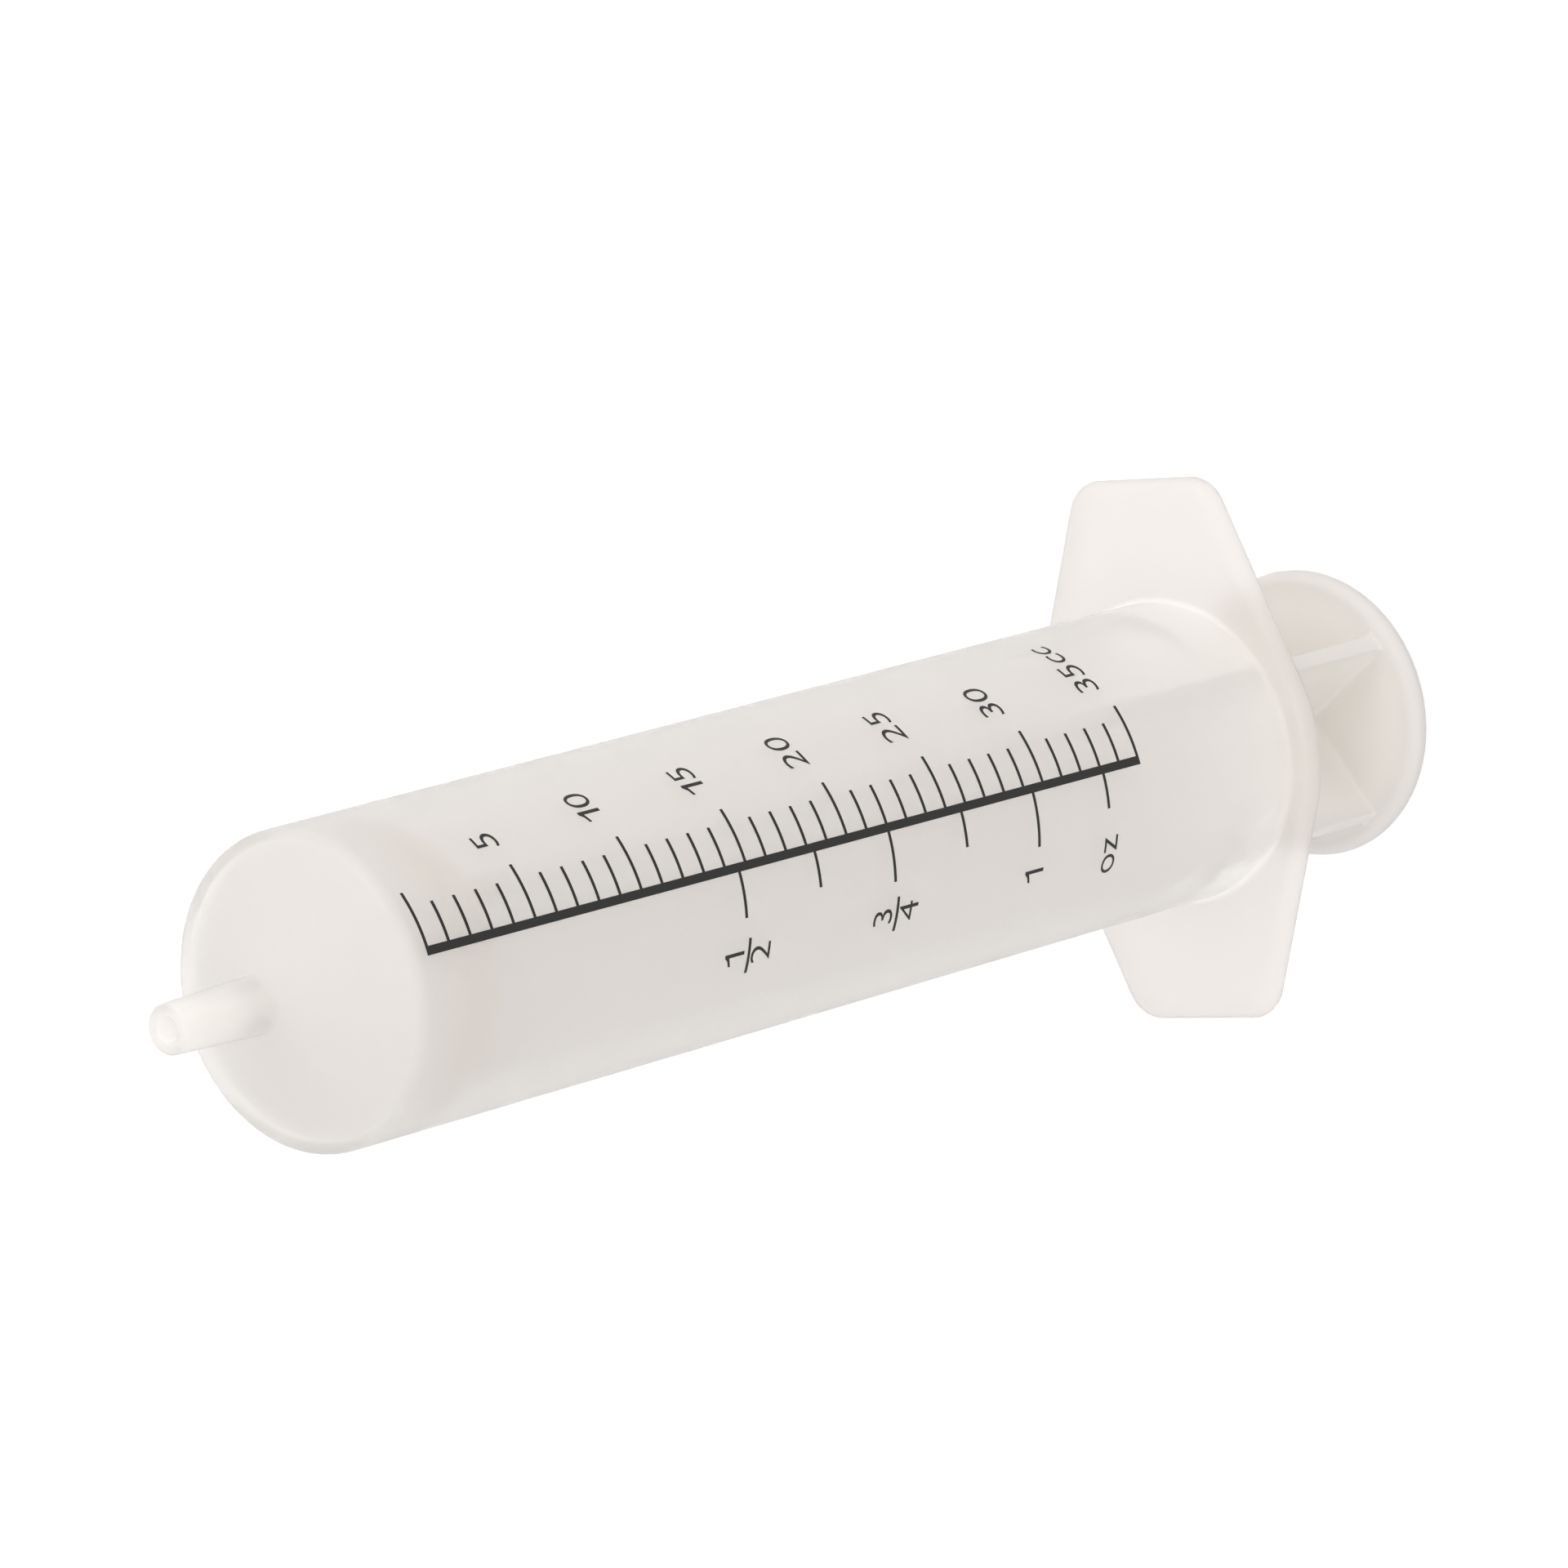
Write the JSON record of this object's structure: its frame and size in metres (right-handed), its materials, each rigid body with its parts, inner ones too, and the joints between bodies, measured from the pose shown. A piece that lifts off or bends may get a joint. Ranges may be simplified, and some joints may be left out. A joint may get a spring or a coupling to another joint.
{
  "type": "slip-tip syringe",
  "caption": "Translucent two-piece slip-tip syringe: a winged barrel with a conical luer tip, and a cross-ribbed plunger that slides in its bore.",
  "frame": {"origin": "middle of the thumb disc's outer face, on the syringe's axis, with the plunger home", "axes": "+Z along the axis towards the tip, X across the two wings of the finger flange, the printed scale faces -Y"},
  "size_m": [0.045, 0.0292, 0.14],
  "materials": {
    "barrel_plastic": "translucent moulded polypropylene, satin gloss",
    "plunger_plastic": "translucent moulded polyethylene, satin"
  },
  "bodies": {
    "barrel_body": {"barrel": "barrel_plastic"},
    "plunger_body": {"plunger": "plunger_plastic"}
  },
  "joints": [
    {"name": "plunger_slide", "type": "slide", "parent": "plunger_body", "child": "barrel_body", "axis": [0, 0, 1], "range_m": [0, 0.0915]}
  ]
}
